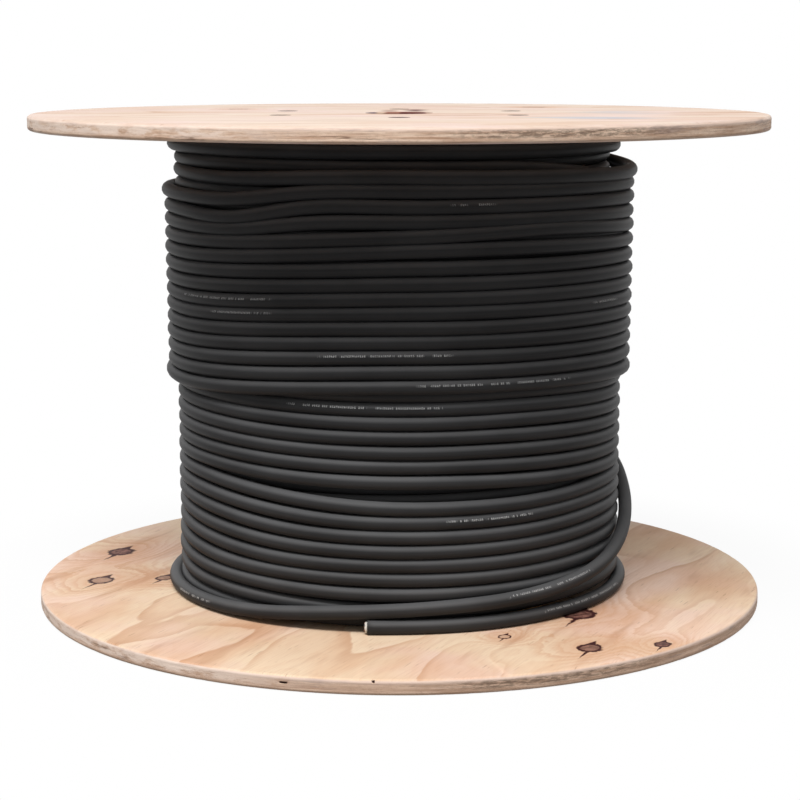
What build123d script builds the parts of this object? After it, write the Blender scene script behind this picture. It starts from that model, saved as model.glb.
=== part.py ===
"""Plywood cable drum, standing on its end, partly wound with round rubber-sheathed cable.

Millimetres, +Z up along the drum's axis. The origin is the middle of the bottom flange's underside.
Angles round the drum are in degrees from the front (-Y), growing towards the right (+X).
"""

import os
from math import cos, pi, radians, sin, sqrt, tan

from build123d import *

# Drum
DRUM_HEIGHT = 600.0
FLANGE_DIAMETER = 900.0
FLANGE_THICKNESS = 18.0
FLANGE_EDGE_RADIUS = 2.5
ARBOR_DIAMETER = 80.0
ARBOR_EDGE_CHAMFER = 1.5
CUT_OVERRUN = 1.0

# Barrel: softwood staves nailed round two plywood core discs
BARREL_DIAMETER = 455.0
STAVE_COUNT = 20
STAVE_THICKNESS = 20.0
STAVE_JOINT_GAP = 0.6
CORE_DISC_THICKNESS = 18.0
CORE_DISC_CLEARANCE = 0.2

# Tie rods with a washer and a nut in a round recess at each end
TIE_ROD_COUNT = 6
TIE_ROD_CIRCLE_RADIUS = 163.0
TIE_ROD_DIAMETER = 10.0
TIE_ROD_HOLE_CLEARANCE = 0.5
TIE_ROD_END_CHAMFER = 1.0
TIE_ROD_STICK_OUT = 1.0
RECESS_DIAMETER = 26.0
RECESS_DEPTH = 12.0
WASHER_DIAMETER = 21.0
WASHER_THICKNESS = 2.0
WASHER_CLEARANCE = 0.25
NUT_ACROSS_FLATS = 17.0
NUT_HEIGHT = 8.0
NUT_CLEARANCE = 0.1
NUT_CORNER_CHAMFER = 1.2

# Cable: full layers from flange to flange, and a part layer over them
CABLE_DIAMETER = 16.5
WINDING_CLEARANCE = 0.3
FULL_LAYERS = 3
GROOVE_DEPTH = 5.0
BOTTOM_THIN_TURNS = 1
PART_LAYER_FIRST_TURN = 16
PART_LAYER_TURNS = 15

# Free end of the cable: angle in degrees, distance from the axis and height of each point
TAIL_ROUTE = (
    (-100, 281.8, 274.0),
    (-112, 288.0, 269.0),
    (-136, 288.0, 259.0),
    (-160, 288.0, 248.0),
    (-184, 288.0, 236.0),
    (-208, 288.0, 223.0),
    (-232, 288.0, 207.0),
    (-254, 289.0, 182.0),
    (-272, 290.0, 134.0),
    (-288, 290.0, 89.0),
    (-306, 288.5, 66.0),
    (-328, 288.0, 55.5),
    (-352, 288.0, 48.5),
    (-376, 288.0, 42.0),
    (-400, 288.0, 33.5),
    (-424, 288.0, 27.4),
    (-448, 288.0, 26.6),
    (-472, 287.0, 26.6),
    (-496, 287.0, 26.6),
    (-520, 286.0, 26.6),
    (-544, 286.0, 26.6),
    (-568, 287.0, 26.6),
    (-592, 286.0, 26.6),
    (-616, 284.0, 26.6),
    (-640, 283.0, 26.6),
    (-664, 282.0, 26.6),
    (-688, 281.0, 26.6),
    (-712, 281.0, 26.6),
    (-728, 276.0, 26.6),
)
BEND_RUN_SHARE = 0.45

FLANGE_RADIUS = FLANGE_DIAMETER / 2
ARBOR_RADIUS = ARBOR_DIAMETER / 2
BARREL_RADIUS = BARREL_DIAMETER / 2
STAVE_INNER_DISTANCE = BARREL_RADIUS - STAVE_THICKNESS
INSIDE_BOTTOM = FLANGE_THICKNESS
INSIDE_TOP = DRUM_HEIGHT - FLANGE_THICKNESS
WINDING_BOTTOM = INSIDE_BOTTOM + WINDING_CLEARANCE
WINDING_TOP = INSIDE_TOP - WINDING_CLEARANCE
TURN_COUNT = int((WINDING_TOP - WINDING_BOTTOM) / CABLE_DIAMETER)
TURN_PITCH = (WINDING_TOP - WINDING_BOTTOM) / TURN_COUNT
LAYER_STEP = sqrt(CABLE_DIAMETER**2 - (TURN_PITCH / 2) ** 2)
BORE_RADIUS = BARREL_RADIUS + WINDING_CLEARANCE
TIE_ROD_HOLE_RADIUS = TIE_ROD_DIAMETER / 2 + TIE_ROD_HOLE_CLEARANCE


def tie_rod_places(height):
    return [
        Pos(TIE_ROD_CIRCLE_RADIUS * cos(angle), TIE_ROD_CIRCLE_RADIUS * sin(angle), height)
        for angle in (2 * pi * (number + 0.5) / TIE_ROD_COUNT for number in range(TIE_ROD_COUNT))
    ]


def plate(radius, thickness):
    """A round plate on z = 0 with the arbor hole and the tie-rod holes."""
    disc = Cylinder(radius, thickness, align=(Align.CENTER, Align.CENTER, Align.MIN))
    through = thickness + 2 * CUT_OVERRUN
    holes = [Cylinder(ARBOR_RADIUS, through)]
    holes += [place * Cylinder(TIE_ROD_HOLE_RADIUS, through) for place in tie_rod_places(0)]
    return disc - [Pos(0, 0, thickness / 2) * hole for hole in holes]


def flange():
    """A flange with its outer face, which has the recesses, on z = 0."""
    board = plate(FLANGE_RADIUS, FLANGE_THICKNESS)
    rim = board.edges().filter_by(GeomType.CIRCLE).filter_by(lambda edge: edge.radius > BARREL_RADIUS)
    board = fillet(rim, FLANGE_EDGE_RADIUS)
    mouth = board.edges().filter_by(GeomType.CIRCLE).filter_by(lambda edge: edge.radius == ARBOR_RADIUS)
    board = chamfer(mouth.sort_by(Axis.Z)[:1], ARBOR_EDGE_CHAMFER)
    recess = Cylinder(RECESS_DIAMETER / 2, 2 * RECESS_DEPTH)
    return board - [place * recess for place in tie_rod_places(0)]


def upside_down(shape):
    """The same piece turned over, for the other end of the drum."""
    return Pos(0, 0, DRUM_HEIGHT) * Rot(180, 0, 0) * shape


def core_disc():
    radius = STAVE_INNER_DISTANCE - CORE_DISC_CLEARANCE
    return Pos(0, 0, INSIDE_BOTTOM) * plate(radius, CORE_DISC_THICKNESS)


def stave(number):
    """One barrel board: flat inside, rounded outside, with radial edges."""
    half_angle = pi / STAVE_COUNT
    inner_half = STAVE_INNER_DISTANCE * tan(half_angle) - STAVE_JOINT_GAP / 2
    outer_half_angle = half_angle - STAVE_JOINT_GAP / (2 * BARREL_RADIUS)
    outer_x = BARREL_RADIUS * cos(outer_half_angle)
    outer_y = BARREL_RADIUS * sin(outer_half_angle)
    outline = [
        Line((STAVE_INNER_DISTANCE, -inner_half), (outer_x, -outer_y)),
        ThreePointArc((outer_x, -outer_y), (BARREL_RADIUS, 0), (outer_x, outer_y)),
        Line((outer_x, outer_y), (STAVE_INNER_DISTANCE, inner_half)),
        Line((STAVE_INNER_DISTANCE, inner_half), (STAVE_INNER_DISTANCE, -inner_half)),
    ]
    board = extrude(make_face(outline), INSIDE_TOP - INSIDE_BOTTOM)
    return Pos(0, 0, INSIDE_BOTTOM) * Rot(0, 0, 360 * number / STAVE_COUNT) * board


def tie_rod():
    """A rod from just below one flange's face to just below the other's."""
    end_gap = RECESS_DEPTH - WASHER_THICKNESS - NUT_HEIGHT - TIE_ROD_STICK_OUT
    rod = Cylinder(TIE_ROD_DIAMETER / 2, DRUM_HEIGHT - 2 * end_gap)
    rod = chamfer(rod.edges().filter_by(GeomType.CIRCLE), TIE_ROD_END_CHAMFER)
    return Pos(0, 0, DRUM_HEIGHT / 2) * rod


def washer():
    """The washer on the floor of a bottom recess."""
    ring = Cylinder(WASHER_DIAMETER / 2, WASHER_THICKNESS)
    ring -= Cylinder(TIE_ROD_DIAMETER / 2 + WASHER_CLEARANCE, WASHER_THICKNESS + 2 * CUT_OVERRUN)
    return Pos(0, 0, RECESS_DEPTH - WASHER_THICKNESS / 2) * ring


def nut():
    """The hexagon nut under that washer, with its corners turned off."""
    corner_radius = NUT_ACROSS_FLATS / 2 / cos(pi / 6)
    hexagon = extrude(RegularPolygon(corner_radius, 6), NUT_HEIGHT / 2, both=True)
    turned = Cylinder(corner_radius, NUT_HEIGHT)
    turned = chamfer(turned.edges().filter_by(GeomType.CIRCLE), NUT_CORNER_CHAMFER)
    bore = Cylinder(TIE_ROD_DIAMETER / 2 + NUT_CLEARANCE, NUT_HEIGHT + 2 * CUT_OVERRUN)
    return Pos(0, 0, RECESS_DEPTH - WASHER_THICKNESS - NUT_HEIGHT / 2) * ((hexagon & turned) - bore)


def layers_at(turn):
    """How many layers lie over the barrel at one turn, counted from the bottom."""
    if turn < BOTTOM_THIN_TURNS:
        return FULL_LAYERS - 1
    in_part_layer = PART_LAYER_FIRST_TURN <= turn < PART_LAYER_FIRST_TURN + PART_LAYER_TURNS
    return FULL_LAYERS + in_part_layer


def winding():
    """The wound cable as one turned solid, with a rounded ridge for each outer turn."""
    outline = []
    last = (BORE_RADIUS, WINDING_BOTTOM)
    for turn in range(TURN_COUNT):
        crest = BORE_RADIUS + CABLE_DIAMETER + (layers_at(turn) - 1) * LAYER_STEP
        low = (crest - GROOVE_DEPTH, WINDING_BOTTOM + turn * TURN_PITCH)
        middle = (crest, WINDING_BOTTOM + (turn + 0.5) * TURN_PITCH)
        high = (crest - GROOVE_DEPTH, WINDING_BOTTOM + (turn + 1) * TURN_PITCH)
        if low != last:
            outline.append(Line(last, low))
        outline.append(ThreePointArc(low, middle, high))
        last = high
    outline.append(Polyline(last, (BORE_RADIUS, WINDING_TOP), (BORE_RADIUS, WINDING_BOTTOM)))
    return revolve(Plane.XZ * make_face(outline), Axis.Z)


def tail():
    """The free cable end: straight runs joined by arcs as large as the runs allow."""
    points = [
        Vector(radius * sin(radians(angle)), -radius * cos(radians(angle)), height)
        for angle, radius, height in TAIL_ROUTE
    ]
    bend_radii = []
    for before, point, after in zip(points, points[1:], points[2:]):
        shorter = min((point - before).length, (after - point).length)
        half_turn = radians((point - before).get_angle(after - point)) / 2
        bend_radii.append(BEND_RUN_SHARE * shorter / tan(half_turn))
    print("tail bend radii", [round(radius) for radius in bend_radii])
    route = FilletPolyline(*points, radius=bend_radii)
    tube = sweep((route ^ 0) * Circle(CABLE_DIAMETER / 2), path=route)
    section = pi * CABLE_DIAMETER**2 / 4
    print("tail length", round(route.length), "volume ratio", round(tube.volume / section / route.length, 4))
    return tube


def write(name, shape):
    export_step(shape, f"parts/{name}.step")


os.makedirs("parts", exist_ok=True)
write("bottom_flange", flange())
write("top_flange", upside_down(flange()))
write("bottom_core_disc", core_disc())
write("top_core_disc", upside_down(core_disc()))
for number in range(STAVE_COUNT):
    write(f"stave_{number + 1:02d}", stave(number))
for number, place in enumerate(tie_rod_places(0), 1):
    write(f"tie_rod_{number}", place * tie_rod())
    write(f"bottom_washer_{number}", place * washer())
    write(f"bottom_nut_{number}", place * nut())
    write(f"top_washer_{number}", place * upside_down(washer()))
    write(f"top_nut_{number}", place * upside_down(nut()))
write("cable_winding", winding())
write("cable_tail", tail())
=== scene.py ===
"""Looks of a plywood cable drum: boards with knots and plies, wound rubber cable and its loose end.

Metres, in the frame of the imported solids: +Z up along the drum's axis, with the floor at zero.
Angles round the drum are in degrees from the front (-Y), growing towards the right (+X).
"""
from functools import reduce
from math import cos, floor, pi, radians, sin, tau

import bmesh
import bpy
import numpy as np
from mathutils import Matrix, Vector, noise


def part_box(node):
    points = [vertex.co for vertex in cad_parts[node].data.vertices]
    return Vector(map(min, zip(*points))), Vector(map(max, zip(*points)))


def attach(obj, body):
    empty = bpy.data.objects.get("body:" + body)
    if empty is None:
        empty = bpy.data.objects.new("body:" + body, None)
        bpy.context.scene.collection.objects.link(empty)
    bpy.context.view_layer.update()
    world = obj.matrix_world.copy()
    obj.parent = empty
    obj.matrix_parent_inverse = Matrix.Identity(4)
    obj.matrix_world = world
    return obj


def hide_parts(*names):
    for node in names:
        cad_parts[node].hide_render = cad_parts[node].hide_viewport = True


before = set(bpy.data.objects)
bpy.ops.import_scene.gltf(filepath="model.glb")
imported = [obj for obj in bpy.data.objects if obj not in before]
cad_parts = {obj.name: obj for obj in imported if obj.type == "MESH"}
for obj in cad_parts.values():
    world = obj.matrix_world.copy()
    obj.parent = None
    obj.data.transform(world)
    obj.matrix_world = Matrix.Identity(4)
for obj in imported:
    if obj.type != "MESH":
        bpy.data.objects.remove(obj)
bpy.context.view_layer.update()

MM = 0.001
SCENE = bpy.context.scene

# Camera, from the photograph's perspective
CAMERA_PLACE = (0.0009, -2.5798, 0.680)
CAMERA_PITCH = 9.615
CAMERA_LENS = 93.83
CAMERA_SENSOR = 36.0
CAMERA_REACH = 1000.0

# Boards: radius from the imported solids, hole and recesses as in the part's source, edges worn rounder
FLANGE_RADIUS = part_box("bottom_flange")[1].x
FLANGE_EDGE_RADIUS = 4.0 * MM
ARBOR_RADIUS = 40 * MM
ARBOR_CHAMFER = 1.5 * MM
RECESS_RADIUS = 13 * MM
RECESS_DEPTH = 12 * MM
RECESS_CIRCLE_RADIUS = 163 * MM
RECESS_COUNT = 6
PLY_COUNT = 7

# Fineness of the boards' meshes
RIM_COLUMNS = 1440
RIM_ROWS = 22
EDGE_ROWS = 7
FACE_RINGS = (0.060, 0.120, 0.200, 0.290, 0.370)
RECESS_SIDES = 32
SHARP_ANGLE = radians(40)

# Cable, and its layers in the order they are wound: always towards smaller angles
CABLE_RADIUS = 8.25 * MM
LOWEST_TURN = 26.55 * MM
LAYER_2_RADIUS = 250.3 * MM
LAYER_2_PITCH = 16.57 * MM
LAYER_2_TURNS = 33
LAYER_3_RADIUS = 267.2 * MM
LAYER_3_PITCH = 16.32 * MM
LAYER_3_TURNS = 32
LAYER_4_RADIUS = 278.2 * MM
LAYER_4_TAPER = 2.4 * MM
LAYER_4_PITCH = 17.15 * MM
LAYER_4_TURNS = 14
LAYER_4_FIRST_HEIGHT = 524.8 * MM

# How turns cross the ones below, and the length of their unevenness in degrees
CROSSING_SHARE = 0.68
CROSSING_HALF_WIDTH = 36.0
RIPPLE_DEGREES = 40.0

# Fineness of the cable's tubes: sides, and steps to a turn
LAYER_2_SIDES = 8
LAYER_2_STEPS = 72
OUTER_SIDES = 14
OUTER_STEPS = 160
TAIL_SIDES = 20

# Free end of the cable: angle, distance from the axis and height of each point of its route
TAIL_ROUTE = (
    (-100, 0.2818, 0.2885),
    (-112, 0.2900, 0.2840),
    (-136, 0.2900, 0.2670),
    (-160, 0.2900, 0.2520),
    (-184, 0.2900, 0.2360),
    (-208, 0.2900, 0.2190),
    (-232, 0.2895, 0.1960),
    (-254, 0.2880, 0.1600),
    (-272, 0.2868, 0.1210),
    (-288, 0.2870, 0.0870),
    (-306, 0.2885, 0.0650),
    (-328, 0.2870, 0.0530),
    (-352, 0.2815, 0.0480),
    (-376, 0.2815, 0.0414),
    (-400, 0.2860, 0.0292),
    (-424, 0.2880, 0.0266),
    (-448, 0.2880, 0.0266),
    (-472, 0.2870, 0.0266),
    (-496, 0.2870, 0.0266),
    (-520, 0.2860, 0.0266),
    (-544, 0.2860, 0.0266),
    (-568, 0.2870, 0.0266),
    (-592, 0.2860, 0.0266),
    (-616, 0.2840, 0.0266),
    (-640, 0.2830, 0.0266),
    (-664, 0.2820, 0.0266),
    (-688, 0.2805, 0.0266),
    (-712, 0.2810, 0.0266),
    (-727.5, 0.2785, 0.0266),
)


def srgb(red, green, blue):
    """Colour from screen values of 0 to 255, as the shader takes it."""
    channels = [value / 255 for value in (red, green, blue)]
    return tuple(c / 12.92 if c <= 0.04045 else ((c + 0.055) / 1.055) ** 2.4 for c in channels) + (1.0,)


# Sockets of a Mix node that mixes colours
MIX_SHARE = 0
MIX_FIRST = 6
MIX_SECOND = 7
MIX_RESULT = 2


class Nodes:
    """A node tree in the making. Each call adds nodes and gives back their output."""

    def __init__(self, tree):
        self.tree = tree

    def feed(self, socket, value):
        if isinstance(value, bpy.types.NodeSocket):
            self.tree.links.new(value, socket)
        else:
            socket.default_value = value

    def node(self, kind, settings=None, **inputs):
        added = self.tree.nodes.new("ShaderNode" + kind)
        for name, value in (settings or {}).items():
            setattr(added, name, value)
        for name, value in inputs.items():
            self.feed(added.inputs[name.replace("_", " ")], value)
        return added

    def fill(self, added, values):
        """Feeds values to a node's inputs in their order."""
        for socket, value in zip(added.inputs, values):
            self.feed(socket, value)
        return added

    def math(self, operation, *values):
        return self.fill(self.node("Math", {"operation": operation}), values).outputs[0]

    def join(self, operation, values):
        """One value out of several, joined two by two."""
        return reduce(lambda first, second: self.math(operation, first, second), values)

    def total(self, *values):
        return self.join("ADD", values)

    def product(self, *values):
        return self.join("MULTIPLY", values)

    def most(self, *values):
        return self.join("MAXIMUM", values)

    def apart(self, first, second):
        """How far two values lie from each other."""
        return self.math("ABSOLUTE", self.math("SUBTRACT", first, second))

    def vector(self, operation, *values):
        added = self.fill(self.node("VectorMath", {"operation": operation}), values)
        return added.outputs["Value" if operation == "LENGTH" else "Vector"]

    def noise(self, place, waves, detail=3.0, roughness=0.5):
        """Noise from 0 to 1, with so many waves to the metre along each axis."""
        scaled = self.vector("MULTIPLY", place, waves)
        added = self.node("TexNoise", Vector=scaled, Scale=1.0, Detail=detail, Roughness=roughness)
        return added.outputs[0]

    def step(self, value, low, high, start=0.0, end=1.0):
        """Smooth step from start to end as the value goes from low to high."""
        added = self.node(
            "MapRange",
            {"interpolation_type": "SMOOTHSTEP"},
            Value=value,
            From_Min=low,
            From_Max=high,
            To_Min=start,
            To_Max=end,
        )
        return added.outputs[0]

    def mix(self, share, first, second):
        added = self.node("Mix", {"data_type": "RGBA"})
        self.feed(added.inputs[MIX_SHARE], share)
        self.feed(added.inputs[MIX_FIRST], first)
        self.feed(added.inputs[MIX_SECOND], second)
        return added.outputs[MIX_RESULT]

    def coats(self, colour, *coats):
        """A colour under coats of others, each with its share and its colour."""
        for share, coat in coats:
            colour = self.mix(share, colour, coat)
        return colour

    def place(self):
        return self.node("TexCoord").outputs["Object"]

    def parts(self, vector):
        return self.node("SeparateXYZ", Vector=vector).outputs

    def attribute(self, name):
        return self.node("Attribute", {"attribute_name": name}).outputs["Fac"]

    def seen_directly(self):
        """1 for what is seen, straight or mirrored or through glass, and 0 for light on surfaces."""
        path = self.node("LightPath").outputs
        return self.most(path["Is Camera Ray"], path["Is Glossy Ray"], path["Is Transmission Ray"])


class Finish(Nodes):
    """A material in the making, round its one surface shader."""

    def __init__(self, name, **constants):
        self.material = bpy.data.materials.new(name)
        self.material.use_nodes = True
        super().__init__(self.material.node_tree)
        self.shader = self.tree.nodes["Principled BSDF"]
        for socket, value in constants.items():
            self.shader.inputs[socket.replace("_", " ")].default_value = value

    def bump(self, height, distance):
        added = self.node("Bump", Height=height, Distance=distance, Strength=1.0)
        self.feed(self.shader.inputs["Normal"], added.outputs[0])

    def done(self, colour, roughness):
        self.feed(self.shader.inputs["Base Color"], colour)
        self.feed(self.shader.inputs["Roughness"], roughness)
        return self.material


# Plywood

BOTTOM_GRAIN = radians(65)
TOP_GRAIN = radians(6)
BOTTOM_PALENESS = 0.0
TOP_PALENESS = 1.0

# A face that looks down takes its grain and knots from this far off in the same pattern
OTHER_SIDE_SHIFT = (1.2, 0.6, 0.0)

# Knots: place on the board, radius, and how dark the inside is
BOTTOM_KNOTS = (
    (-0.370, 0.120, 0.0155, 0.95),
    (-0.375, -0.030, 0.014, 0.55),
    (-0.297, -0.018, 0.010, 0.65),
    (0.213, -0.190, 0.018, 0.95),
    (0.213, -0.330, 0.013, 0.85),
    (0.296, -0.316, 0.009, 0.95),
    (0.120, -0.285, 0.007, 0.20),
    (1.040, 0.520, 0.016, 0.70),
    (1.330, 0.810, 0.012, 0.60),
)
TOP_KNOTS = (
    (-0.210, 0.160, 0.010, 0.40),
    (0.180, 0.250, 0.012, 0.60),
    (1.010, 0.390, 0.016, 0.70),
    (1.420, 0.700, 0.014, 0.50),
)

# Stains: place on the board, half width and half depth, strength, colour on screen
TOP_STAINS = (
    (0.272, 0.010, 0.075, 0.085, 0.65, (176, 182, 190)),
    (0.225, -0.175, 0.080, 0.075, 0.65, (172, 181, 194)),
    (-0.012, 0.085, 0.016, 0.055, 0.80, (150, 104, 86)),
    (0.020, 0.100, 0.020, 0.070, 0.95, (84, 24, 22)),
)

# Knots' shape: how lengths along the grain count, unevenness, and how fast the swell round them fades
KNOT_STRETCH = 0.85
KNOT_WOBBLE = 0.7
KNOT_SWELL_FADE = 0.06


def grain_spot(x, y, grain):
    """A place on the board as distances along and across its grain."""
    return (x * cos(grain) + y * sin(grain), y * cos(grain) - x * sin(grain), 0.0)


def add_knot(finish, spot, wobble, x, y, radius, grain):
    """Masks of a knot's body and of its dark outline, and the swell of the grain round it.

    Lengths are in knot radii. The outline is a ring with a tapering wing and a thin tail along the grain.
    """
    offset = finish.vector("SUBTRACT", spot, grain_spot(x, y, grain))
    scaled = finish.vector("MULTIPLY", offset, (KNOT_STRETCH / radius, 1.0 / radius, 0.0))
    along, across, _ = finish.parts(scaled)
    reach = finish.total(finish.vector("LENGTH", scaled), wobble)
    body = finish.step(reach, 1.0, 0.86)
    ring = finish.step(finish.apart(reach, 0.95), 0.24, 0.06)
    wing = finish.math("MULTIPLY_ADD", along, 0.42, finish.apart(across, 0.25))
    wing = finish.product(finish.step(wing, 0.90, 0.72), finish.step(along, 0.35, 0.6))
    tail = finish.math("MULTIPLY_ADD", wobble, 0.6, finish.total(across, 0.2))
    tail = finish.math("MULTIPLY_ADD", along, -0.10, finish.math("ABSOLUTE", tail))
    tail = finish.product(finish.step(tail, 0.34, 0.22), finish.step(along, -0.5, -0.8))
    flare = finish.product(finish.most(wing, tail), finish.step(reach, 0.70, 0.95))
    swell = finish.math("EXPONENT", finish.product(reach, reach, -KNOT_SWELL_FADE))
    return body, finish.most(ring, flare), swell


def knot_masks(finish, spot, wobble, knots, grain):
    """Masks of all knots together: their bodies, as dark as listed, their outlines and their swell."""
    bodies = []
    outlines = []
    swells = []
    for x, y, radius, darkness in knots:
        body, outline, swell = add_knot(finish, spot, wobble, x, y, radius, grain)
        bodies.append(finish.product(body, darkness))
        outlines.append(outline)
        swells.append(swell)
    return finish.most(*bodies), finish.most(*outlines), finish.total(*swells)


def ramp(finish, wave, low, peak):
    """Slow rise from low to the peak of a wave from 0 to 1, and a quick drop after it."""
    return finish.product(finish.step(wave, low, peak), finish.step(wave, 1.0, peak))


def grain_bands(finish, spot, small, swell):
    """Masks of the broad late wood, of the dark line at its edge, and of the finer rings."""
    phase = finish.total(
        finish.product(finish.parts(spot)[1], 6.0),
        finish.product(finish.noise(spot, (1.3, 4.2, 1.0), 2.0), 7.5),
        finish.product(small, 0.9),
        finish.product(swell, 1.3),
    )
    wave = finish.math("FRACT", phase)
    ring = finish.math("FRACT", finish.product(phase, 4.0))
    strength = finish.step(finish.noise(spot, (1.6, 6.0, 1.0), 2.0), 0.38, 0.62, 0.15, 1.0)
    late = finish.product(strength, 0.65, ramp(finish, wave, 0.30, 0.95))
    line = finish.product(strength, 0.38, ramp(finish, wave, 0.78, 0.96))
    rings = finish.product(ramp(finish, ring, 0.2, 0.92), finish.step(swell, 0.02, 0.5, 0.12, 0.45))
    return late, line, rings


def plywood(name, knots, grain, board_low, thickness, pale, stains):
    """Rotary-cut softwood veneer with knots on both faces, and the plies' edges round the rim."""
    finish = Finish(name, Specular_IOR_Level=0.10)
    coordinates = finish.node("TexCoord").outputs
    place = coordinates["Object"]
    facing = finish.parts(coordinates["Normal"])[2]
    other = finish.step(facing, 0.1, -0.1)
    other = finish.node("CombineXYZ", X=other, Y=other).outputs[0]
    shifted = finish.vector("ADD", place, finish.vector("MULTIPLY", other, OTHER_SIDE_SHIFT))
    flat = finish.vector("MULTIPLY", shifted, (1.0, 1.0, 0.0))
    spot = finish.node("VectorRotate", {"rotation_type": "Z_AXIS"}, Vector=flat, Angle=-grain).outputs[0]

    wobble = finish.noise(spot, (110.0, 150.0, 1.0), 3.0, 0.6)
    wobble = finish.math("MULTIPLY_ADD", wobble, KNOT_WOBBLE, -0.5 * KNOT_WOBBLE)
    inside, outline, swell = knot_masks(finish, spot, wobble, knots, grain)
    small = finish.noise(spot, (5.0, 17.0, 1.0), 3.0)
    late, line, rings = grain_bands(finish, spot, small, swell)
    streaks = finish.step(finish.noise(spot, (3.2, 24.0, 1.0), 3.0, 0.6), 0.54, 0.76, 0.0, 0.60)
    pores = finish.step(finish.noise(spot, (30.0, 420.0, 1.0), 1.0), 0.70, 0.76, 0.0, 0.4)
    fibre = finish.noise(spot, (22.0, 600.0, 1.0), 3.0, 0.6)
    cloud = finish.noise(spot, (3.5, 10.0, 1.0), 3.0)
    blush = finish.noise(flat, (5.0, 5.0, 1.0), 3.0)

    cream = finish.mix(pale, srgb(246, 220, 190), srgb(229, 210, 194))
    pink = finish.mix(pale, srgb(246, 214, 194), srgb(230, 208, 198))
    peach = finish.mix(pale, srgb(224, 174, 136), srgb(217, 184, 160))
    brown = finish.mix(pale, srgb(184, 130, 96), srgb(184, 146, 122))
    colour = finish.coats(
        cream,
        (finish.step(blush, 0.42, 0.60), pink),
        (finish.step(cloud, 0.45, 0.70, 0.0, 0.6), peach),
        (late, peach),
        (line, brown),
        (rings, peach),
        (streaks, brown),
        (finish.step(fibre, 0.45, 0.75, 0.0, 0.22), brown),
        (pores, srgb(140, 90, 62)),
        (finish.step(swell, 0.2, 1.0, 0.0, 0.45), srgb(214, 158, 122)),
    )
    for x, y, width, depth, strength, stain in stains:
        offset = finish.vector("SUBTRACT", flat, (x, y, 0.0))
        offset = finish.vector("MULTIPLY", offset, (1 / width, 1 / depth, 0.0))
        reach = finish.math("MULTIPLY_ADD", small, 2.0, finish.vector("LENGTH", offset))
        colour = finish.mix(finish.step(reach, 2.1, 1.1, 0.0, strength), colour, srgb(*stain))
    flesh = finish.mix(finish.step(wobble, -0.10, 0.10), srgb(68, 35, 37), srgb(142, 98, 86))
    rim = rim_colour(finish, place, board_low, thickness, pale)
    colour = finish.coats(
        colour,
        (inside, flesh),
        (outline, srgb(62, 28, 28)),
        (finish.step(finish.math("ABSOLUTE", facing), 0.80, 0.45), rim),
        # Voids in the plies painted dark: painted shade inside the gaps.
        (finish.step(finish.attribute("void"), 0.05, 0.35), srgb(62, 40, 34)),
    )
    sunk = finish.product(finish.most(outline, pores), 1.5)
    finish.bump(finish.math("SUBTRACT", fibre, sunk), 0.12 * MM)
    return finish.done(colour, finish.step(cloud, 0.3, 0.7, 0.5, 0.62))


def rim_colour(finish, place, board_low, thickness, pale):
    """Edges of the plies: long grain and end grain in turn, worn and dirty in irregular streaks, with a
    painted highlight towards the upper face.
    """
    x, y, z = finish.parts(place)
    level = finish.math("DIVIDE", finish.math("SUBTRACT", z, board_low), thickness)
    waver = finish.math("MULTIPLY_ADD", finish.noise(place, (14.0, 14.0, 60.0), 3.0, 0.6), 1.6, -0.8)
    plies = finish.total(finish.product(level, PLY_COUNT), waver)
    layered = finish.node("CombineXYZ", X=x, Y=y, Z=finish.math("FLOOR", plies)).outputs[0]
    patch = finish.noise(layered, (9.0, 9.0, 7.3), 4.0, 0.65)
    streak = finish.noise(place, (16.0, 16.0, 700.0), 4.0, 0.65)
    speck = finish.noise(place, (240.0, 240.0, 420.0), 3.0, 0.65)
    rough = finish.noise(place, (90.0, 90.0, 500.0), 4.0, 0.75)
    glue = finish.product(
        finish.step(finish.apart(finish.math("FRACT", plies), 0.5), 0.30, 0.49, 0.0, 0.6),
        finish.step(finish.noise(layered, (20.0, 20.0, 3.1), 4.0, 0.7), 0.52, 0.70),
    )
    chips = finish.product(
        finish.step(finish.noise(place, (30.0, 30.0, 120.0), 4.0, 0.7), 0.38, 0.56),
        finish.step(x, -0.05, -0.25, 0.0, 0.9),
        finish.step(level, 0.10, 0.45),
    )
    grey = finish.product(
        finish.step(finish.noise(place, (10.0, 10.0, 90.0), 4.0, 0.7), 0.54, 0.70, 0.0, 0.5),
        finish.step(x, -0.30, 0.0, 0.35, 1.0),
    )
    dirt = finish.product(
        finish.step(finish.noise(place, (11.0, 11.0, 150.0), 4.0, 0.7), 0.58, 0.70, 0.0, 0.8),
        finish.step(level, 0.80, 0.50),
    )
    smear = finish.product(
        finish.step(finish.math("MULTIPLY_ADD", patch, 0.3, rough), 0.54, 0.74, 0.0, 0.7),
        finish.step(x, 0.02, 0.10),
        finish.step(x, 0.34, 0.22),
        finish.step(y, 0.0, -0.1),
        finish.step(finish.apart(level, 0.55), 0.36, 0.12),
    )
    return finish.coats(
        finish.mix(pale, srgb(230, 198, 174), srgb(246, 218, 194)),
        (finish.step(patch, 0.35, 0.65), finish.mix(pale, srgb(198, 164, 140), srgb(214, 178, 152))),
        (finish.step(streak, 0.48, 0.66, 0.0, 0.55), srgb(166, 124, 98)),
        (finish.step(speck, 0.50, 0.70, 0.0, 0.18), srgb(140, 104, 84)),
        (glue, srgb(112, 76, 66)),
        # Paler towards the upper face: a painted highlight along the upper edge, partly pale wear.
        (finish.step(level, 0.62, 0.86, 0.0, 0.6), srgb(250, 226, 212)),
        (chips, srgb(250, 228, 212)),
        (grey, srgb(164, 148, 146)),
        (dirt, srgb(104, 72, 56)),
        (smear, srgb(98, 83, 70)),
        # Darker towards the lower face.
        (finish.step(level, 0.16, 0.02, 0.0, 0.4), srgb(126, 98, 80)),
    )


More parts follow.
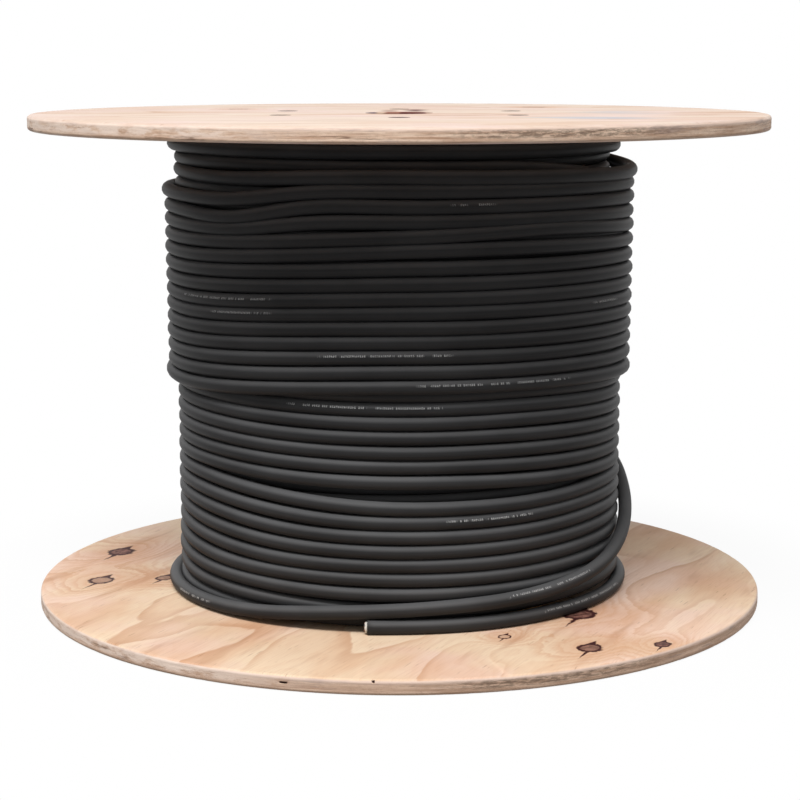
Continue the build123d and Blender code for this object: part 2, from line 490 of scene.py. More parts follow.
def painted_shade_recess_wood(name):
    """Bored end grain inside the holes, painted dark as the shade in the recesses, with darker bands and
    specks.
    """
    finish = Finish(name, Specular_IOR_Level=0.3)
    place = finish.place()
    bands = finish.noise(place, (60.0, 60.0, 380.0), 3.0)
    speck = finish.noise(place, (600.0, 600.0, 600.0), 2.0)
    colour = finish.coats(
        srgb(92, 68, 64),
        (finish.step(bands, 0.4, 0.6), srgb(60, 44, 48)),
        (finish.step(speck, 0.5, 0.7, 0.0, 0.5), srgb(46, 34, 38)),
    )
    finish.bump(speck, 0.3 * MM)
    return finish.done(colour, finish.step(speck, 0.3, 0.7, 0.75, 0.85))


def arbor_wood(name):
    """Wall of the arbor hole: pale wood, brown and dark red towards one side."""
    finish = Finish(name, Specular_IOR_Level=0.2)
    place = finish.place()
    x = finish.parts(place)[0]
    bands = finish.noise(place, (40.0, 40.0, 300.0), 3.0)
    sideways = finish.math("MULTIPLY_ADD", bands, 0.012, x)
    colour = finish.coats(
        srgb(104, 90, 98),
        (finish.step(sideways, -0.027, -0.020), srgb(206, 176, 154)),
        (finish.step(sideways, -0.015, -0.009), srgb(146, 98, 82)),
        (finish.step(sideways, 0.004, 0.010), srgb(92, 28, 26)),
        (finish.step(sideways, 0.036, 0.042), srgb(176, 140, 120)),
        (finish.step(bands, 0.5, 0.7, 0.0, 0.5), srgb(84, 56, 50)),
    )
    finish.bump(bands, 0.3 * MM)
    return finish.done(colour, finish.step(bands, 0.3, 0.7, 0.6, 0.75))


def softwood(name):
    """Sawn boards with their grain upright."""
    finish = Finish(name, Specular_IOR_Level=0.35)
    place = finish.place()
    ring = finish.math("FRACT", finish.product(finish.noise(place, (14.0, 14.0, 1.2), 2.0), 9.0))
    fibre = finish.noise(place, (500.0, 500.0, 12.0), 3.0)
    colour = finish.coats(
        srgb(232, 202, 164),
        (finish.step(ring, 0.2, 0.95), srgb(206, 160, 112)),
        (finish.step(fibre, 0.4, 0.7, 0.0, 0.3), srgb(176, 128, 88)),
    )
    finish.bump(fibre, 0.3 * MM)
    return finish.done(colour, finish.step(fibre, 0.3, 0.7, 0.6, 0.75))


THREAD_PITCH = 1.5 * MM


def zinc():
    """Zinc-plated steel with cloudy wear and a thread's ridges."""
    finish = Finish("zinc_steel", Metallic=1.0)
    place = finish.place()
    cloud = finish.noise(place, (90.0, 90.0, 90.0), 4.0)
    colour = finish.mix(cloud, srgb(186, 188, 190), srgb(148, 148, 146))
    thread = finish.math("FRACT", finish.product(finish.parts(place)[2], 1 / THREAD_PITCH))
    finish.bump(finish.math("PINGPONG", thread, 0.5), 0.3 * MM)
    return finish.done(colour, finish.step(cloud, 0.3, 0.7, 0.28, 0.5))


# Rubber sheath, with the print's letter width, half height, place above the middle, and strength
PRINT_LETTER = 2.3 * MM
PRINT_HEIGHT = 1.3 * MM
PRINT_RISE = 3.0 * MM
PRINT_STRENGTH = 0.85


def rubber():
    """Matt black sheath: faint streaks along it, dust and a painted sheen on what faces up, and worn print
    where marked.
    """
    finish = Finish("cable_rubber", Specular_IOR_Level=0.06)
    coordinates = finish.node("TexCoord").outputs
    place = coordinates["Object"]
    facing = finish.parts(coordinates["Normal"])[2]
    along = finish.attribute("along")
    around = finish.attribute("around")
    length = finish.node("CombineXYZ", X=along, Y=around).outputs[0]
    cloud = finish.noise(place, (9.0, 9.0, 22.0), 3.0)
    streak = finish.noise(length, (5.0, 900.0, 0.0), 2.0)
    grit = finish.noise(place, (1100.0, 1100.0, 1100.0), 2.0)
    # Lighter where the sheath faces up: partly dust, partly a painted sheen of the light from above.
    dust_and_painted_sheen = finish.product(finish.step(facing, 0.1, 0.75), finish.step(cloud, 0.3, 0.7, 0.65, 0.90))

    cell = finish.math("DIVIDE", along, PRINT_LETTER)
    number = finish.math("FLOOR", cell)
    letter = finish.node("TexWhiteNoise", {"noise_dimensions": "1D"}, W=number).outputs["Value"]
    word = finish.noise(length, (60.0, 0.0, 0.0), 0.0)
    worn = finish.noise(length, (900.0, 1600.0, 0.0), 1.0)
    ink = finish.product(
        finish.step(letter, 0.12, 0.22),
        finish.step(word, 0.36, 0.40),
        finish.step(finish.math("FRACT", cell), 0.74, 0.64),
        finish.step(finish.apart(around, PRINT_RISE), PRINT_HEIGHT * 1.1, PRINT_HEIGHT * 0.8),
        finish.step(worn, 0.42, 0.56),
        finish.attribute("print"),
        PRINT_STRENGTH,
    )
    colour = finish.coats(
        srgb(43, 43, 44),
        (finish.step(cloud, 0.3, 0.7), srgb(53, 53, 54)),
        (finish.step(streak, 0.45, 0.8, 0.0, 0.35), srgb(64, 63, 62)),
        (dust_and_painted_sheen, srgb(94, 94, 95)),
        (ink, srgb(190, 190, 189)),
    )
    finish.bump(grit, 0.06 * MM)
    return finish.done(colour, finish.step(cloud, 0.3, 0.7, 0.44, 0.51))


def plain_finish(name, colour, other, roughness, waves, metallic=0.0):
    """A material that is cloudy between two colours."""
    finish = Finish(name, Metallic=metallic)
    cloud = finish.noise(finish.place(), (waves, waves, waves), 3.0)
    finish.bump(cloud, 0.2 * MM)
    colour = finish.mix(cloud, colour, other)
    return finish.done(colour, finish.step(cloud, 0.3, 0.7, roughness, roughness + 0.1))


# Meshes

def link(name, mesh, materials, slot, *stands_for):
    """Object in the scene that rides on the drum."""
    piece = bpy.data.objects.new(name, mesh)
    SCENE.collection.objects.link(piece)
    for material in materials:
        mesh.materials.append(material)
    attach(piece, "root")
    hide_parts(*stands_for)
    return piece


def round_drum(angles, distances, heights):
    """Points at angles round the drum, distances from its axis and heights."""
    turns = np.radians(angles)
    return np.column_stack((distances * np.sin(turns), -distances * np.cos(turns), heights))


def tube_mesh(name, line, sides, printed, lift=0.0):
    """Tube round a line of points. Each ring starts on the inside, towards the drum's axis."""
    tangents = np.gradient(line, axis=0)
    tangents /= np.linalg.norm(tangents, axis=1)[:, None]
    outward = line * (1.0, 1.0, 0.0)
    outward -= tangents * np.sum(outward * tangents, axis=1)[:, None]
    outward /= np.linalg.norm(outward, axis=1)[:, None]
    upward = np.cross(tangents, outward)
    upward *= np.sign(upward[:, 2])[:, None]
    around = -pi + (np.arange(sides) + 0.5) * tau / sides
    sideways = np.cos(around)[None, :, None] * outward[:, None, :]
    upright = np.sin(around)[None, :, None] * upward[:, None, :]
    points = line[:, None, :] + CABLE_RADIUS * (sideways + upright)
    count = len(line)
    first = (np.arange(count - 1) * sides)[:, None] + np.arange(sides)[None, :]
    second = (np.arange(count - 1) * sides)[:, None] + (np.arange(sides) + 1)[None, :] % sides
    quads = np.stack((first, first + sides, second + sides, second), axis=-1).reshape(-1, 4)
    faces = [tuple(quad) for quad in quads.tolist()]
    faces.append(tuple(range(sides)))
    faces.append(tuple(reversed(range((count - 1) * sides, count * sides))))
    mesh = bpy.data.meshes.new(name)
    mesh.from_pydata(points.reshape(-1, 3).tolist(), [], faces)
    steps = np.linalg.norm(np.diff(line, axis=0), axis=1)
    along = np.concatenate(([0.0], np.cumsum(steps)))
    add_attribute(mesh, "along", np.repeat(along, sides))
    lifts = np.broadcast_to(lift, count)[:, None]
    add_attribute(mesh, "around", (around[None, :] * CABLE_RADIUS - lifts).ravel())
    add_attribute(mesh, "print", np.repeat(printed, sides))
    mesh.polygons.foreach_set("use_smooth", [True] * (len(faces) - 2) + [False] * 2)
    return mesh


def add_attribute(mesh, name, values):
    layer = mesh.attributes.new(name, "FLOAT", "POINT")
    layer.data.foreach_set("value", np.asarray(values, dtype=np.float32))


# Winding

def smooth(value):
    value = np.clip(value, 0.0, 1.0)
    return value * value * (3.0 - 2.0 * value)


def climbed(angles, crossing):
    """Share of its pitch that a turn has climbed: slowly all round, and quickly at its crossing."""
    steady = (180.0 - angles) / 360.0
    quick = smooth((crossing + CROSSING_HALF_WIDTH - angles) / (2.0 * CROSSING_HALF_WIDTH))
    return (1.0 - CROSSING_SHARE) * steady + CROSSING_SHARE * quick


def ripple(travel, seed, size):
    """Small smooth unevenness along the travelled degrees."""
    return np.array([size * noise.noise((step / RIPPLE_DEGREES, seed, 0.5)) for step in travel])


def winding_angles(start, end, per_turn):
    """Travelled degrees from start to end. Whole turns of it begin at the back."""
    return np.linspace(start, end, int((end - start) / 360.0 * per_turn) + 1)


def split_turns(travel):
    """Turn number and angle round the drum of travelled degrees."""
    turns = np.floor(travel / 360.0)
    return turns, 180.0 - (travel - 360.0 * turns)


def printed_at(turns, angles, windows):
    """1 where a turn's angle lies in one of the windows of print."""
    mask = np.zeros(len(turns))
    for turn, low, high in windows:
        mask = np.maximum(mask, (turns == turn) * (angles > low) * (angles < high))
    return mask


def strayed(places, angles, strays):
    """How far turns near the listed places rise and step outwards from an even winding."""
    rise = np.zeros(len(angles))
    outward = np.zeros(len(angles))
    for place, angle, reach, spread, up, out in strays:
        share = np.exp(-0.5 * ((places - place) / reach) ** 2 - 0.5 * ((angles - angle) / spread) ** 2)
        rise += up * share
        outward += out * share
    return rise, outward


def layer_2_line():
    """Line of the second layer: even turns from top to bottom, with no print. Little of it shows."""
    travel = winding_angles(0.0, 360.0 * LAYER_2_TURNS, LAYER_2_STEPS)
    heights = LOWEST_TURN + LAYER_2_PITCH * (LAYER_2_TURNS - travel / 360.0)
    return round_drum(180.0 - travel, LAYER_2_RADIUS, heights), np.zeros(len(travel))


# Third layer, wound upwards: the climb onto it, where its turns cross, and the climb off it
LAYER_3_START = 160.0
LAYER_3_CLIMB = 100.0
LOWER_GROUP_TURNS = 9
LOWER_CROSSING = -102.0
LOWER_CROSSING_DRIFT = 9.0
UPPER_CROSSING = 42.0
UPPER_CROSSING_DRIFT = 4.0
UPPER_CROSSING_MOST = 58.0
LAST_CROSSING = 130.0
LAYER_3_END = 360.0 * (LAYER_3_TURNS - 1) + 270.0
CLIMB_OFF = 8.5 * MM
CLIMB_OFF_DEGREES = 180.0

# Unevenness outwards and upwards: seed and size
LAYER_3_RIPPLE_OUT = (3.0, 0.8 * MM)
LAYER_3_RIPPLE_UP = (8.0, 0.7 * MM)

# Print: turn, and the angles between which it shows
LAYER_3_PRINT = ((14, -26, 12), (7, 12, 34))

# Height of an even winding, and how much higher the turns lie there
LAYER_3_RISES = (
    (0.045, 0.0),
    (0.100, 1.5 * MM),
    (0.160, 2.0 * MM),
    (0.187, 5.6 * MM),
    (0.250, 8.0 * MM),
    (0.340, 9.0 * MM),
    (0.516, 3.0 * MM),
    (0.531, 18.5 * MM),
)

# Where turns stray: height, angle, spread in height and in degrees, rise, step outwards
LAYER_3_STRAYS = (
    (0.150, -58, 0.090, 24, 3.5 * MM, 0.0),
    (0.145, 62, 0.035, 16, 3.5 * MM, 0.0),
    (0.046, 5, 0.007, 28, -4.0 * MM, -7.0 * MM),
    (0.545, 84, 0.006, 40, 0.0, -4.5 * MM),
)


def layer_3_line():
    """Line and print of the third layer. Its lower turns cross at the left, its upper ones at the right."""
    travel = winding_angles(LAYER_3_START, LAYER_3_END, OUTER_STEPS)
    turns, angles = split_turns(travel)
    lower = LOWER_CROSSING + LOWER_CROSSING_DRIFT * turns
    upper = UPPER_CROSSING + UPPER_CROSSING_DRIFT * (turns - LOWER_GROUP_TURNS)
    upper = np.minimum(upper, UPPER_CROSSING_MOST)
    crossing = np.where(turns < LOWER_GROUP_TURNS, lower, upper)
    crossing = np.where(turns == LAYER_3_TURNS - 1, LAST_CROSSING, crossing)
    heights = LOWEST_TURN + LAYER_3_PITCH * (turns + climbed(angles, crossing))
    rise, outward = strayed(heights, angles, LAYER_3_STRAYS)
    heights += np.interp(heights, *zip(*LAYER_3_RISES)) + rise
    on = smooth((travel - LAYER_3_START) / LAYER_3_CLIMB)
    off = smooth((travel - LAYER_3_END + CLIMB_OFF_DEGREES) / CLIMB_OFF_DEGREES)
    climb = (LAYER_3_RADIUS - LAYER_2_RADIUS) * (on - 1.0) + CLIMB_OFF * off
    distances = LAYER_3_RADIUS + climb + outward + ripple(travel, *LAYER_3_RIPPLE_OUT)
    heights = np.maximum(heights + ripple(travel, *LAYER_3_RIPPLE_UP), LOWEST_TURN)
    return round_drum(angles, distances, heights), printed_at(turns, angles, LAYER_3_PRINT)


# Fourth layer, wound downwards: it climbs on at the left under the top flange, comes down round the
# back, bulges in its first turn, and runs out into the free end
LAYER_4_START = -450.0
LAYER_4_END = 360.0 * (LAYER_4_TURNS - 1) + 280.0
LAYER_4_CROSSING = -32.0
COME_DOWN = 250.0
FIRST_TURN_BULGE = 4.5 * MM
BULGE_FADE_START = -300.0
BULGE_FADE = 420.0
RUN_OUT = 55.0
LAYER_4_RIPPLE_OUT = (21.0, 0.8 * MM)
LAYER_4_RIPPLE_UP = (27.0, 0.9 * MM)
LAYER_4_PRINT = ((13, 4, 44), (11, -18, 12), (7, -62, -30), (8, -50, -31), (1, 12, 22), (8, 53, 63))

# Where turns stray: turn, angle, spread in turns and in degrees, rise, step outwards
LAYER_4_STRAYS = (
    (12.3, -8, 3.2, 38, 5.2 * MM, 0.0),
    (3.0, 38, 0.55, 20, 7.0 * MM, 2.0 * MM),
    (4.0, 12, 0.50, 20, 3.5 * MM, 0.0),
    (1.0, -44, 0.90, 11, -6.5 * MM, 0.0),
    (1.0, -18, 0.90, 10, 4.5 * MM, 0.0),
    (13.0, 88, 0.60, 25, -3.0 * MM, 0.0),
    (7.0, 105, 8.00, 28, -8.0 * MM, 0.0),
    (-1.0, 88, 0.45, 40, -9.0 * MM, 0.0),
    (-1.0, -90, 0.45, 35, 8.8 * MM, -15.0 * MM),
    (0.0, -90, 0.45, 45, 0.0, 3.7 * MM),
)


def layer_4_line(top):
    """Line and print of the fourth layer, from the height at which the third one ends."""
    travel = winding_angles(LAYER_4_START, LAYER_4_END, OUTER_STEPS)
    turns, angles = split_turns(travel)
    on = smooth((travel - LAYER_4_START) / COME_DOWN)
    out = smooth((travel - LAYER_4_END + RUN_OUT) / RUN_OUT)
    calm = (1.0 - out) * on
    _, end_distance, end_height = TAIL_ROUTE[0]
    heights = LAYER_4_FIRST_HEIGHT - LAYER_4_PITCH * (turns + climbed(angles, LAYER_4_CROSSING))
    heights += (top - heights[0]) * (1.0 - on)
    heights += (end_height - heights[-1]) * out
    bulge = FIRST_TURN_BULGE * (1.0 - smooth((travel - BULGE_FADE_START) / BULGE_FADE))
    taper = LAYER_4_TAPER * (LAYER_4_END - travel) / LAYER_4_END
    wound = LAYER_4_RADIUS + taper + bulge
    before = LAYER_3_RADIUS + CLIMB_OFF
    distances = before + (wound - before) * on + (end_distance - wound) * out
    rise, outward = strayed(turns, angles, LAYER_4_STRAYS)
    distances += (outward + ripple(travel, *LAYER_4_RIPPLE_OUT)) * calm
    heights += (rise + ripple(travel, *LAYER_4_RIPPLE_UP)) * calm
    return round_drum(angles, distances, heights), printed_at(turns, angles, LAYER_4_PRINT)


# Free end: how fine its line is, and its print, from and to in degrees along the route and how far raised
ROUTE_STEPS = 16
ROUTE_ORDER = 3
TAIL_PRINT = ((-349, -323, 3.0 * MM), (-688, -655, 2.5 * MM), (-440, -425, -0.5 * MM))


def route_points():
    """Points of the smooth line whose control points are the route."""
    curve = bpy.data.curves.new("cable_route", "CURVE")
    curve.dimensions = "3D"
    curve.resolution_u = ROUTE_STEPS
    spline = curve.splines.new("NURBS")
    spline.points.add(len(TAIL_ROUTE) - 1)
    angles, distances, heights = np.array(TAIL_ROUTE).T
    for point, place in zip(spline.points, round_drum(angles, distances, heights)):
        point.co = (*place, 1.0)
    spline.order_u = ROUTE_ORDER
    spline.use_endpoint_u = True
    holder = bpy.data.objects.new("cable_route", curve)
    line = bpy.data.meshes.new_from_object(holder)
    points = np.array([vertex.co for vertex in line.vertices])
    bpy.data.objects.remove(holder)
    bpy.data.meshes.remove(line)
    bpy.data.curves.remove(curve)
    return points


# Cut face: radii, how far things stick out of the sheath, and fineness
CORE_COUNT = 5
SHEATH_WALL = 2.0 * MM
CORE_RADIUS = 2.35 * MM
CORE_CIRCLE_RADIUS = 3.75 * MM
CONDUCTOR_RADIUS = 1.5 * MM
END_RECESS = 0.6 * MM
FILLER_FRONT = 3.0 * MM
CORE_FRONT = FILLER_FRONT + 0.5 * MM
CONDUCTOR_FRONT = FILLER_FRONT + 0.7 * MM
FILLER_SIDES = 32
CORE_SIDES = 20
CONDUCTOR_SIDES = 14
EDGE_BREAK = 0.15

# Places of the cut face's finishes in its list
FILLER_FINISH = 0
CORE_FINISHES = (1, 2)
CONDUCTOR_FINISH = 3


def disc(shape, axes, centre, radius, back, front, sides, finish):
    """Short round bar from back to front along the cable's direction, with a small edge break."""
    middle, across, upright, forward = axes
    narrow = radius * (1.0 - EDGE_BREAK)
    rings = []
    for size, depth in ((radius, back), (radius, front - EDGE_BREAK * radius), (narrow, front)):
        ring = []
        for side in range(sides):
            angle = tau * side / sides
            flat = across * (centre[0] + size * cos(angle)) + upright * (centre[1] + size * sin(angle))
            ring.append(shape.verts.new(middle + flat + forward * depth))
        rings.append(ring)
    faces = []
    for lower, upper in zip(rings, rings[1:]):
        for side in range(sides):
            turn = (side + 1) % sides
            faces.append(shape.faces.new((lower[side], lower[turn], upper[turn], upper[side])))
    faces.append(shape.faces.new(rings[-1]))
    faces.append(shape.faces.new(list(reversed(rings[0]))))
    for face in faces:
        face.material_index = finish
        face.smooth = len(face.verts) == 4


def cut_end_mesh(end, direction):
    """Cut face of the cable: filler inside the sheath, with insulated cores round copper conductors."""
    forward = Vector(direction).normalized()
    across = forward.cross(Vector((0.0, 0.0, 1.0))).normalized()
    axes = (Vector(end), across, across.cross(forward), forward)
    shape = bmesh.new()
    inside = CABLE_RADIUS - SHEATH_WALL
    disc(shape, axes, (0.0, 0.0), inside, -END_RECESS, FILLER_FRONT, FILLER_SIDES, FILLER_FINISH)
    for core in range(CORE_COUNT):
        angle = tau * core / CORE_COUNT
        centre = (CORE_CIRCLE_RADIUS * cos(angle), CORE_CIRCLE_RADIUS * sin(angle))
        sheath = CORE_FINISHES[core % len(CORE_FINISHES)]
        disc(shape, axes, centre, CORE_RADIUS, 0.0, CORE_FRONT, CORE_SIDES, sheath)
        disc(shape, axes, centre, CONDUCTOR_RADIUS, 0.0, CONDUCTOR_FRONT, CONDUCTOR_SIDES, CONDUCTOR_FINISH)
    mesh = bpy.data.meshes.new("cable_cut_end")
    shape.to_mesh(mesh)
    shape.free()
    return mesh


# Boards

# Voids in the core plies: angle round the drum, level in the board from 0 to 1, length
BOTTOM_VOIDS = ((-3.5, 0.13, 3 * MM), (-16.0, 0.45, 9 * MM), (118.0, 0.50, 12 * MM), (-141.0, 0.36, 9 * MM))
TOP_VOIDS = ((152.0, 0.50, 10 * MM), (-128.0, 0.36, 12 * MM))
VOID_HALF_HEIGHT = 0.07
VOID_DEPTH = 2.0 * MM
VOID_STEEPNESS = 2.2

# Wear round the rim: depths, waves to the metre, and the share of the thickness at each face that chips
RIDGE_DEPTH = 0.20 * MM
RIDGE_WAVES = 30.0
SAW_DEPTH = 0.12 * MM
SAW_WAVES = 160.0
CHIP_DEPTH = 1.6 * MM
CHIP_WAVES = 70.0
CHIP_SHARE = 0.14
BOTTOM_SEED = 5
TOP_SEED = 11

# Places of a board's finishes in its list
FACE_FINISH = 0
RECESS_FINISH = 1
ARBOR_FINISH = 2


def rim_profile(thickness):
    """Distances and levels of the rows round the rim, from the inner face to the outer one."""
    rows = []
    for step in range(EDGE_ROWS):
        turn = 0.5 * pi * step / EDGE_ROWS
        inset = FLANGE_EDGE_RADIUS * (1.0 - sin(turn))
        rows.append((FLANGE_RADIUS - inset, FLANGE_EDGE_RADIUS * (1.0 - cos(turn))))
    straight = thickness - 2.0 * FLANGE_EDGE_RADIUS
    for step in range(RIM_ROWS + 1):
        rows.append((FLANGE_RADIUS, FLANGE_EDGE_RADIUS + straight * step / RIM_ROWS))
    for distance, level in reversed(rows[:EDGE_ROWS]):
        rows.append((distance, thickness - level))
    return rows


def rim_wear(angle, share, voids, seed):
    """Depth of wear at an angle in radians and a share of the thickness, and how far that is in a void."""
    x = cos(angle) * FLANGE_RADIUS
    y = sin(angle) * FLANGE_RADIUS
    ply = floor(share * PLY_COUNT)
    ridge = 0.5 + 0.5 * noise.noise((x * RIDGE_WAVES, y * RIDGE_WAVES, ply * 3.7 + seed))
    saw = 0.5 + 0.5 * noise.noise((x * SAW_WAVES, y * SAW_WAVES, share * 9.0 + seed))
    edge = max(0.0, abs(share - 0.5) - (0.5 - CHIP_SHARE)) / CHIP_SHARE
    chip = noise.noise((x * CHIP_WAVES, y * CHIP_WAVES, share * 4.0 + seed + 40.0))
    depth = RIDGE_DEPTH * ridge + SAW_DEPTH * saw + CHIP_DEPTH * max(0.0, chip - 0.25) * edge
    void = 0.0
    for middle, level, length in voids:
        gap = (angle - middle + pi) % tau - pi
        sideways = abs(gap) * FLANGE_RADIUS / (0.5 * length)
        upright = abs(share - level) / VOID_HALF_HEIGHT
        void = max(void, min(1.0, VOID_STEEPNESS * (1.0 - max(sideways, upright))))
    return depth + VOID_DEPTH * void, void


def flange_mesh(name, inner_height, outer_height, voids, seed):
    """Round board with worn plies round its rim, the arbor hole, and nut recesses in its outer face."""
    thickness = abs(outer_height - inner_height)
    upwards = 1.0 if outer_height > inner_height else -1.0
    all_voids = [(radians(angle - 90.0), level, length) for angle, level, length in voids]
    shape = bmesh.new()
    void_layer = shape.verts.layers.float.new("void")
    turns = [tau * column / RIM_COLUMNS for column in range(RIM_COLUMNS)]

    def ring(distance, level, worn=False):
        loop = []
        for turn in turns:
            depth, void = rim_wear(turn, level / thickness, all_voids, seed) if worn else (0.0, 0.0)
            size = distance - depth
            place = (size * cos(turn), size * sin(turn), inner_height + upwards * level)
            vertex = shape.verts.new(place)
            vertex[void_layer] = void
            loop.append(vertex)
        return loop

    def band(first, second, is_smooth, finish=FACE_FINISH):
        for column in range(RIM_COLUMNS):
            after = (column + 1) % RIM_COLUMNS
            face = shape.faces.new((first[column], first[after], second[after], second[column]))
            face.smooth = is_smooth
            face.material_index = finish

    profile = rim_profile(thickness)
    inner_rings = [ring(ARBOR_RADIUS + ARBOR_CHAMFER, 0.0)]
    inner_rings += [ring(distance, 0.0) for distance in FACE_RINGS]
    rim_rings = [ring(profile[0][0], 0.0)]
    rim_rings += [ring(distance, level, True) for distance, level in profile[1:-1]]
    rim_rings.append(ring(profile[-1][0], thickness))
    for first, second in zip(inner_rings, inner_rings[1:] + rim_rings[:1]):
        band(first, second, False)
    for first, second in zip(rim_rings, rim_rings[1:]):
        band(first, second, True)
    hole_rings = [
        ring(ARBOR_RADIUS + ARBOR_CHAMFER, thickness),
        ring(ARBOR_RADIUS, thickness - ARBOR_CHAMFER),
        ring(ARBOR_RADIUS, ARBOR_CHAMFER),
        inner_rings[0],
    ]
    for first, second in zip(hole_rings, hole_rings[1:]):
        band(first, second, True, ARBOR_FINISH)
    loops = [rim_rings[-1], hole_rings[0]]
    for number in range(RECESS_COUNT):
        loops.append(add_recess(shape, number, inner_height, upwards, thickness))
    edges = []
    for loop in loops:
        for vertex, after in zip(loop, loop[1:] + loop[:1]):
            edge = shape.edges.get((vertex, after))
            edges.append(edge or shape.edges.new((vertex, after)))
    bmesh.ops.triangle_fill(shape, use_beauty=True, edges=edges, normal=(0.0, 0.0, upwards))
    bmesh.ops.recalc_face_normals(shape, faces=shape.faces)
    mesh = bpy.data.meshes.new(name)
    shape.to_mesh(mesh)
    shape.free()
    mesh.set_sharp_from_angle(angle=SHARP_ANGLE)
    return mesh


def add_recess(shape, number, inner_height, upwards, thickness):
    """Round recess for a nut and washer, sunk from the outer face. Gives its mouth's loop."""
    turn = radians((number + 0.5) * 360.0 / RECESS_COUNT)
    x = RECESS_CIRCLE_RADIUS * cos(turn)
    y = RECESS_CIRCLE_RADIUS * sin(turn)
    rings = []
    for level in (thickness, thickness - RECESS_DEPTH):
        height = inner_height + upwards * level
        loop = []
        for side in range(RECESS_SIDES):
            angle = tau * side / RECESS_SIDES
            place = (x + RECESS_RADIUS * cos(angle), y + RECESS_RADIUS * sin(angle), height)
            loop.append(shape.verts.new(place))
        rings.append(loop)
    mouth, bottom = rings
    for side in range(RECESS_SIDES):
        after = (side + 1) % RECESS_SIDES
        wall = shape.faces.new((mouth[side], mouth[after], bottom[after], bottom[side]))
        wall.smooth = True
        wall.material_index = RECESS_FINISH
    shape.faces.new(bottom).material_index = RECESS_FINISH
    return mouth


# Stage

FLOOR_SIZE = 400.0
FLOOR_TONE = 0.9
FLOOR_ROUGHNESS = 0.9
FLOOR_GLOW = 0.92
FLOOR_SHADOW_REACH = (0.455, 0.72)
FLOOR_BOUNCE = 0.25
FILL_STRENGTH = 0.42
KEY_AIM = (0.0, 0.0, 0.3)
KEY_PLACE = (-1.40, -4.72, 7.85)
KEY_SIZE = (6.5, 2.2)
KEY_POWER = 750.0


def add_floor():
    """Pale floor that keeps the drum's shadow near the drum and is plain white further out."""
    mesh = bpy.data.meshes.new("floor")
    half = 0.5 * FLOOR_SIZE
    corners = [(-half, -half, 0.0), (half, -half, 0.0), (half, half, 0.0), (-half, half, 0.0)]
    mesh.from_pydata(corners, [], [(0, 1, 2, 3)])
    finish = Finish("floor_white", Specular_IOR_Level=0.0)
    seen = finish.seen_directly()
    distance = finish.vector("LENGTH", finish.place())
    white = finish.product(seen, finish.step(distance, *FLOOR_SHADOW_REACH, FLOOR_GLOW, 1.0))
    glow = finish.node("Emission").outputs[0]
    surface = finish.fill(finish.node("MixShader"), (white, finish.shader.outputs[0], glow)).outputs[0]
    finish.feed(finish.tree.nodes["Material Output"].inputs["Surface"], surface)
    tone = finish.step(seen, 0.0, 1.0, FLOOR_BOUNCE, FLOOR_TONE)
    mesh.materials.append(finish.done(tone, FLOOR_ROUGHNESS))
    floor_object = bpy.data.objects.new("floor", mesh)
    SCENE.collection.objects.link(floor_object)


def add_light():
    """Soft light from high in front and a little from the left, in a white room."""
    lamp = bpy.data.lights.new("key", "AREA")
    lamp.shape = "RECTANGLE"
    lamp.size, lamp.size_y = KEY_SIZE
    lamp.energy = KEY_POWER
    key = bpy.data.objects.new("key", lamp)
    key.location = KEY_PLACE
    key.rotation_euler = (Vector(KEY_AIM) - Vector(KEY_PLACE)).to_track_quat("-Z", "Y").to_euler()
    SCENE.collection.objects.link(key)
    world = bpy.data.worlds.new("white_room")
    world.use_nodes = True
    SCENE.world = world
    nodes = Nodes(world.node_tree)
    background = world.node_tree.nodes["Background"]
    background.inputs["Color"].default_value = (1.0, 1.0, 1.0, 1.0)
    strength = nodes.step(nodes.seen_directly(), 0.0, 1.0, FILL_STRENGTH, 1.0)
    nodes.feed(background.inputs["Strength"], strength)


def add_camera():
    lens = bpy.data.cameras.new("camera")
    lens.sensor_width = CAMERA_SENSOR
    lens.lens = CAMERA_LENS
    lens.clip_end = CAMERA_REACH
    camera = bpy.data.objects.new("camera", lens)
    camera.location = CAMERA_PLACE
    camera.rotation_euler = (radians(90.0 - CAMERA_PITCH), 0.0, 0.0)
    SCENE.collection.objects.link(camera)
    SCENE.camera = camera


def dress_node(node, material):
    node.data.materials.clear()
    node.data.materials.append(material)


SCENE.view_settings.view_transform = "Standard"
add_camera()
add_light()
add_floor()

# Cable
rubber_finish = rubber()
layer_2 = layer_2_line()
layer_3 = layer_3_line()
layer_4 = layer_4_line(layer_3[0][-1][2])
for name, sides, (line, printed) in (
    ("cable_layer_2", LAYER_2_SIDES, layer_2),
    ("cable_layer_3", OUTER_SIDES, layer_3),
    ("cable_layer_4", OUTER_SIDES, layer_4),
):
    link(name, tube_mesh(name, line, sides, printed), [rubber_finish], "cable_rubber", "cable_winding")

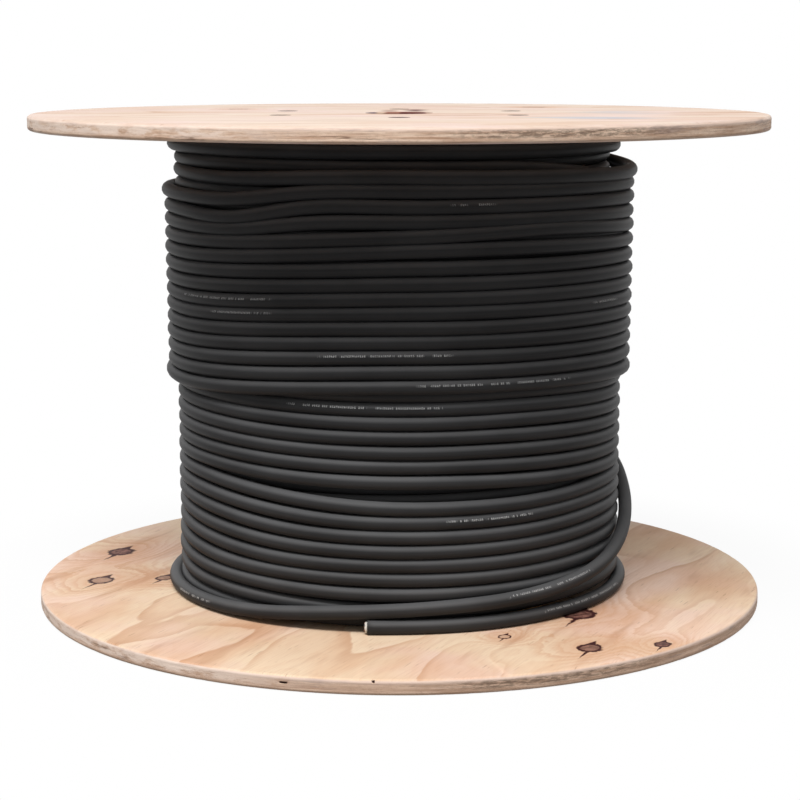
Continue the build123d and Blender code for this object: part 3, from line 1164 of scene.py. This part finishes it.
tail_line = route_points()
tail_degrees = np.linspace(TAIL_ROUTE[0][0], TAIL_ROUTE[-1][0], len(tail_line))
tail_printed = np.zeros(len(tail_line))
tail_lift = np.zeros(len(tail_line))
for low, high, lift in TAIL_PRINT:
    stretch = (tail_degrees > low) * (tail_degrees < high)
    tail_printed[stretch] = 1.0
    tail_lift[stretch] = lift
tail = link(
    "cable_free_end",
    tube_mesh("cable_free_end", tail_line, TAIL_SIDES, tail_printed, tail_lift),
    [rubber_finish],
    "cable_rubber",
    "cable_tail",
)
cut_end = link(
    "cable_cut_end",
    cut_end_mesh(tail_line[-1], tail_line[-1] - tail_line[-2]),
    [
        plain_finish("filler_white", srgb(226, 222, 214), srgb(206, 202, 194), 0.7, 600.0),
        plain_finish("core_grey", srgb(120, 120, 120), srgb(104, 104, 104), 0.45, 600.0),
        plain_finish("core_brown", srgb(104, 66, 46), srgb(90, 56, 40), 0.45, 600.0),
        plain_finish("copper", srgb(214, 140, 100), srgb(186, 112, 78), 0.3, 2500.0, 1.0),
    ],
    "cable_rubber",
)

# Boards
bottom_low, bottom_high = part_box("bottom_flange")
top_low, top_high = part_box("top_flange")
board = bottom_high.z - bottom_low.z
bored = [painted_shade_recess_wood("bored_wood_painted_shade"), arbor_wood("arbor_wood")]
bottom_mesh = flange_mesh("bottom_board", bottom_high.z, bottom_low.z, BOTTOM_VOIDS, BOTTOM_SEED)
bottom_wood = plywood(
    "plywood_bottom", BOTTOM_KNOTS, BOTTOM_GRAIN, bottom_low.z, board, BOTTOM_PALENESS, ()
)
link("bottom_board", bottom_mesh, [bottom_wood, *bored], "plywood", "bottom_flange")
top_mesh = flange_mesh("top_board", top_low.z, top_high.z, TOP_VOIDS, TOP_SEED)
top_wood = plywood("plywood_top", TOP_KNOTS, TOP_GRAIN, top_low.z, board, TOP_PALENESS, TOP_STAINS)
link("top_board", top_mesh, [top_wood, *bored], "plywood", "top_flange")

# Pieces that keep their solids
zinc_finish = zinc()
stave_finish = softwood("stave_softwood")
core_finish = plywood(
    "plywood_core", TOP_KNOTS[2:], TOP_GRAIN, bottom_high.z, board, BOTTOM_PALENESS, ()
)
for name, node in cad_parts.items():
    if name.startswith("stave"):
        dress_node(node, stave_finish)
    elif "core_disc" in name:
        dress_node(node, core_finish)
    elif any(word in name for word in ("rod", "nut", "washer")):
        dress_node(node, zinc_finish)
